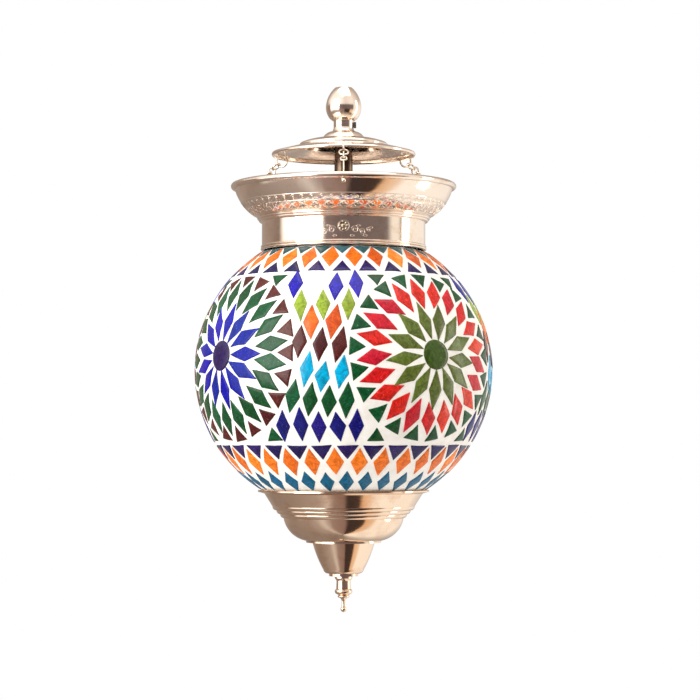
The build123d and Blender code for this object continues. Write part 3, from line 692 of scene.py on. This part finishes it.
def rosettes(skin):
    """Rosettes with slotted heads, which hold the collar to the glass's packing."""
    low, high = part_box("rosette_screws")
    level = (low.z + high.z) / 2
    radius = (high.z - low.z) / 2
    shares = np.linspace(0.02, 1.0, 40)
    segments = 96
    points = []
    faces = []
    for turn in ROSETTE_TURNS:
        beside, _ = skin.at(turn + BESIDE_ROSETTE, level)
        normal = azimuth(turn)
        middle = normal * math.hypot(beside.x, beside.y) + Vector((0, 0, level))
        across = Vector((0, 0, 1)).cross(normal).normalized()
        along = normal.cross(across)
        start = len(points)
        bearings = [math.tau * step / segments for step in range(segments)]
        spots = [across * math.cos(bearing) + along * math.sin(bearing) for bearing in bearings]
        for share in shares:
            for bearing, spot in zip(bearings, spots):
                relief = rosette_height(share, bearing) * MM
                points.append(middle + spot * share * radius + normal * relief)
        points += [middle + spot * radius - normal * ROSETTE_RIM for spot in spots]
        points.append(middle + normal * (rosette_height(0.0, 0.0) * MM))
        faces += ring_faces(len(shares) + 1, segments, start)
        last = len(points) - 1
        faces += [(start + (i + 1) % segments, start + i, last) for i in range(segments)]
    piece = add_piece("rosettes", points, faces, [materials["screw_brass"]], "bowl")
    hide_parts("rosette_screws")


# ---------------------------------------------------------------- stage
AIM = Vector((0, 0, -0.19))  # the middle of the globe


def area_light(name, place, width, height, power, colour):
    """Soft rectangular light aimed at the lantern; power in watts."""
    lamp = bpy.data.lights.new(name, "AREA")
    lamp.shape = "RECTANGLE"
    lamp.size = width
    lamp.size_y = height
    lamp.energy = power
    lamp.color = colour
    holder = bpy.data.objects.new(name, lamp)
    holder.location = place
    holder.rotation_euler = (AIM - Vector(place)).to_track_quat("-Z", "Y").to_euler()
    bpy.context.scene.collection.objects.link(holder)


# the room that light and reflections meet: azimuth and colour, below eye level, at it and above it
ROOM_BELOW = (
    (-180, (0.30, 0.25, 0.22)),
    (-110, (0.34, 0.28, 0.245)),
    (-60, (0.46, 0.39, 0.35)),
    (-42, (0.72, 0.66, 0.62)),
    (-24, (0.36, 0.27, 0.24)),
    (4, (0.30, 0.20, 0.17)),
    (8, (0.055, 0.038, 0.035)),
    (42, (0.07, 0.045, 0.035)),
    (46, (0.90, 0.58, 0.34)),
    (62, (0.95, 0.72, 0.52)),
    (72, (1.15, 1.12, 1.06)),
    (140, (1.1, 1.06, 1.0)),
    (180, (0.30, 0.25, 0.22)),
)
ROOM = (
    (-180, (0.42, 0.35, 0.30)),
    (-135, (0.40, 0.32, 0.27)),
    (-102, (0.28, 0.21, 0.17)),
    (-92, (1.6, 1.58, 1.55)),
    (-34, (1.6, 1.58, 1.55)),
    (-26, (0.26, 0.21, 0.21)),
    (0, (0.17, 0.135, 0.135)),
    (64, (0.22, 0.175, 0.165)),
    (72, (1.05, 1.0, 0.90)),
    (84, (1.05, 1.0, 0.90)),
    (88, (0.26, 0.22, 0.20)),
    (95, (0.32, 0.27, 0.24)),
    (99, (1.1, 1.06, 1.0)),
    (150, (1.05, 1.0, 0.94)),
    (180, (0.42, 0.35, 0.30)),
)
ROOM_ABOVE = (
    (-180, (0.38, 0.31, 0.27)),
    (-140, (0.50, 0.42, 0.37)),
    (-95, (1.3, 1.28, 1.25)),
    (-20, (1.3, 1.28, 1.25)),
    (10, (0.95, 0.90, 0.86)),
    (60, (1.1, 1.05, 0.98)),
    (130, (0.62, 0.54, 0.48)),
    (180, (0.38, 0.31, 0.27)),
)


def studio_world():
    """White to the eye; light and reflections meet the room, by azimuth and at three levels."""
    world = bpy.data.worlds.new("studio")
    bpy.context.scene.world = world
    world.use_nodes = True
    world.node_tree.nodes.clear()
    sky = Tree(world.node_tree)
    sight = sky.add("ShaderNodeTexCoord").outputs["Generated"]
    east, north, up = sky.add("ShaderNodeSeparateXYZ", {0: sight}).outputs
    turn = sky.calc("ARCTAN2", east, sky.calc("MULTIPLY", north, -1.0))
    share = sky.spread(turn, -math.pi, math.pi)

    def level_colour(stops):
        """Colour of one level of the room, by azimuth."""
        ramp = sky.add("ShaderNodeValToRGB", {0: share})
        points = ramp.color_ramp.elements
        while len(points) < len(stops):
            points.new(0.5)
        for point, (bearing, shine) in zip(points, stops):
            point.position = (bearing + 180) / 360
            point.color = (*shine, 1.0)
        return ramp.outputs[0]

    colour = level_colour(ROOM_BELOW)
    for stops, low, high in ((ROOM, -0.34, -0.16), (ROOM_ABOVE, 0.16, 0.34)):
        colour = sky.mix(sky.spread(up, low, high), colour, level_colour(stops))
    room = sky.add("ShaderNodeBackground", {0: colour}).outputs[0]
    white = sky.add("ShaderNodeBackground", {0: (1, 1, 1, 1)}).outputs[0]
    to_eye = sky.add("ShaderNodeLightPath").outputs["Is Camera Ray"]
    seen = sky.add("ShaderNodeMixShader", {0: to_eye, 1: room, 2: white}).outputs[0]
    sky.add("ShaderNodeOutputWorld", {0: seen})


def lay_floor():
    """Pale floor well below the hanging lantern, under the camera's view."""
    height = -1.5
    half = 2.4
    mesh = bpy.data.meshes.new("floor")
    corners = [(x * half, y * half, height) for x, y in ((-1, -1), (1, -1), (1, 1), (-1, 1))]
    mesh.from_pydata(corners, [], [(0, 1, 2, 3)])
    mesh.materials.append(floor_paint())
    floor = bpy.data.objects.new("floor", mesh)
    bpy.context.scene.collection.objects.link(floor)
    floor.visible_glossy = False


EYE = (0, -1.542, -0.2373)
FOCAL_LENGTH = 118.2  # mm, on a sensor 36 mm wide
LOOK_UP = 2.243  # degrees
LOOK_RIGHT = 0.16


def set_camera():
    """In front of the lantern, a little below the globe's middle and looking slightly up."""
    lens = bpy.data.cameras.new("camera")
    lens.lens = FOCAL_LENGTH
    lens.sensor_width = 36
    camera = bpy.data.objects.new("camera", lens)
    camera.location = EYE
    camera.rotation_euler = (math.radians(90 + LOOK_UP), 0, math.radians(-LOOK_RIGHT))
    bpy.context.scene.collection.objects.link(camera)
    bpy.context.scene.camera = camera


def light_studio():
    studio_world()
    area_light("window", (-1.25, -1.05, 0.25), 1.2, 1.5, 20.0, (1.0, 0.985, 0.96))
    area_light("overhead", (0.1, -0.2, 1.3), 1.4, 1.4, 12.0, (1.0, 0.99, 0.97))
    area_light("far_strip", (1.5, 0.15, -0.1), 0.35, 1.5, 6.0, (1.0, 0.95, 0.86))
    bpy.context.scene.view_settings.view_transform = "Standard"


# ---------------------------------------------------------------- the lantern
def finish_frame_nodes():
    """Frame nodes get their slots' materials; pieces stand for the chips, gems, grout and rosettes."""
    slots = {part["node"]: part["material_slot"] for part in frame["record"]["subparts"]}
    for name, node in nodes.items():
        slot = slots[name]
        if slot in materials:
            node.data.materials.clear()
            node.data.materials.append(materials[slot])


set_camera()
light_studio()
lay_floor()
finish_frame_nodes()
for colour in CHIP_COLOURS:
    lay_mosaic(colour)
set_gems()
fill_grout()
collar_skin = Skin("collar")
lace_band(collar_skin)
scrollwork(collar_skin)
rosettes(collar_skin)
